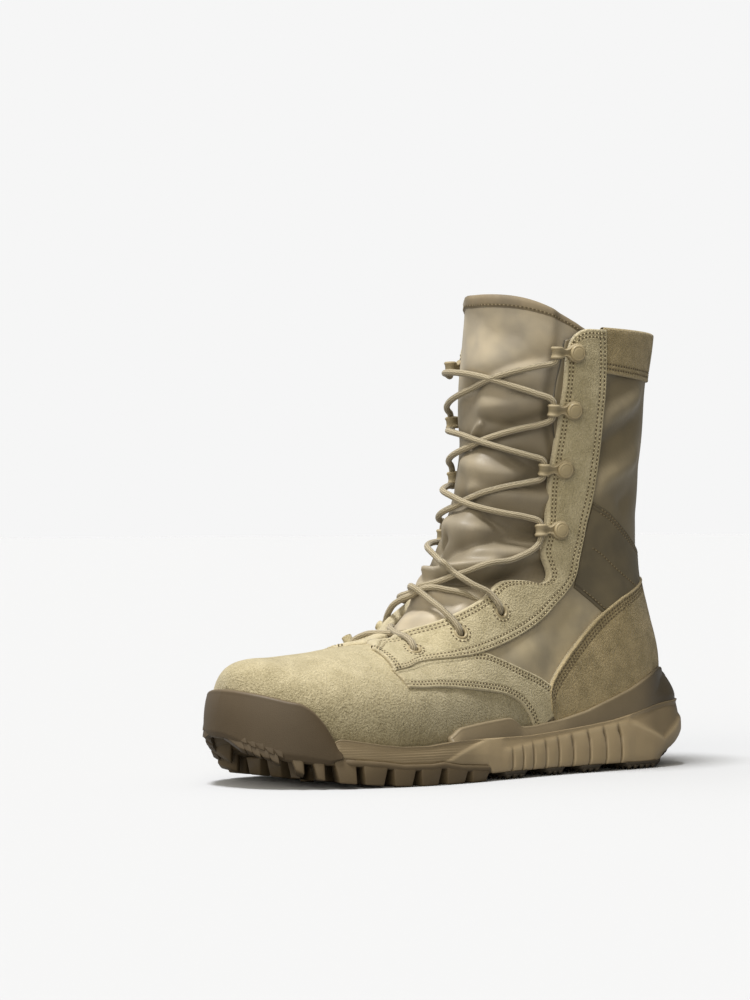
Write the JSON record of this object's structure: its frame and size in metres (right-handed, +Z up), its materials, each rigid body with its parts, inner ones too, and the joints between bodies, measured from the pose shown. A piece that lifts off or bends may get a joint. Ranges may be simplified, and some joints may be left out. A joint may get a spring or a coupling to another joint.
{
  "type": "field boot",
  "caption": "Left lace-up field boot with a hollow suede and nylon upper, padded tongue, speed-lace loops and a cushioned, lugged sole.",
  "frame": {"origin": "centre of the boot's box on the floor it stands on", "axes": "+Z up, toe along -Y, outer side of the left foot along +X"},
  "size_m": [0.1088, 0.3046, 0.2535],
  "materials": {
    "suede": "sandy napped suede",
    "upper_nylon": "smooth taupe nylon",
    "tongue_nylon": "smooth padded nylon",
    "insole_fabric": "dark knit lining",
    "foam": "matt moulded foam",
    "cradle_rubber": "satin brown rubber",
    "outsole_rubber": "matt brown rubber",
    "hardware": "tan paint",
    "webbing": "woven tan webbing",
    "lace_cord": "braided round cord"
  },
  "bodies": {
    "root": {"ankle_strip_lateral": "upper_nylon", "ankle_strip_medial": "upper_nylon", "arch_pad_lateral": "outsole_rubber", "arch_pad_medial": "outsole_rubber", "collar_band": "suede", "eyelet_lateral_1": "hardware", "eyelet_lateral_2": "hardware", "eyelet_lateral_3": "hardware", "eyelet_medial_1": "hardware", "eyelet_medial_2": "hardware", "eyelet_medial_3": "hardware", "eyestay_lateral": "suede", "eyestay_medial": "suede", "heel_counter": "suede", "heel_cradle": "cradle_rubber", "heel_pad_lateral": "outsole_rubber", "heel_pad_medial": "outsole_rubber", "heel_rear_pad": "outsole_rubber", "insole": "insole_fabric", "lace": "lace_cord", "lace_loop_lateral_1": "webbing", "lace_loop_lateral_2": "webbing", "lace_loop_lateral_3": "webbing", "lace_loop_lateral_4": "webbing", "lace_loop_medial_1": "webbing", "lace_loop_medial_2": "webbing", "lace_loop_medial_3": "webbing", "lace_loop_medial_4": "webbing", "loop_disc_lateral_1": "hardware", "loop_disc_lateral_2": "hardware", "loop_disc_lateral_3": "hardware", "loop_disc_lateral_4": "hardware", "loop_disc_medial_1": "hardware", "loop_disc_medial_2": "hardware", "loop_disc_medial_3": "hardware", "loop_disc_medial_4": "hardware", "midsole": "foam", "outsole_forefoot": "outsole_rubber", "saddle_lateral": "suede", "saddle_medial": "suede", "toe_bumper": "cradle_rubber", "tongue": "tongue_nylon", "upper": "upper_nylon", "waist_front_pad_lateral": "outsole_rubber", "waist_front_pad_medial": "outsole_rubber", "waist_rear_pad_lateral": "outsole_rubber", "waist_rear_pad_medial": "outsole_rubber"}
  },
  "joints": []
}
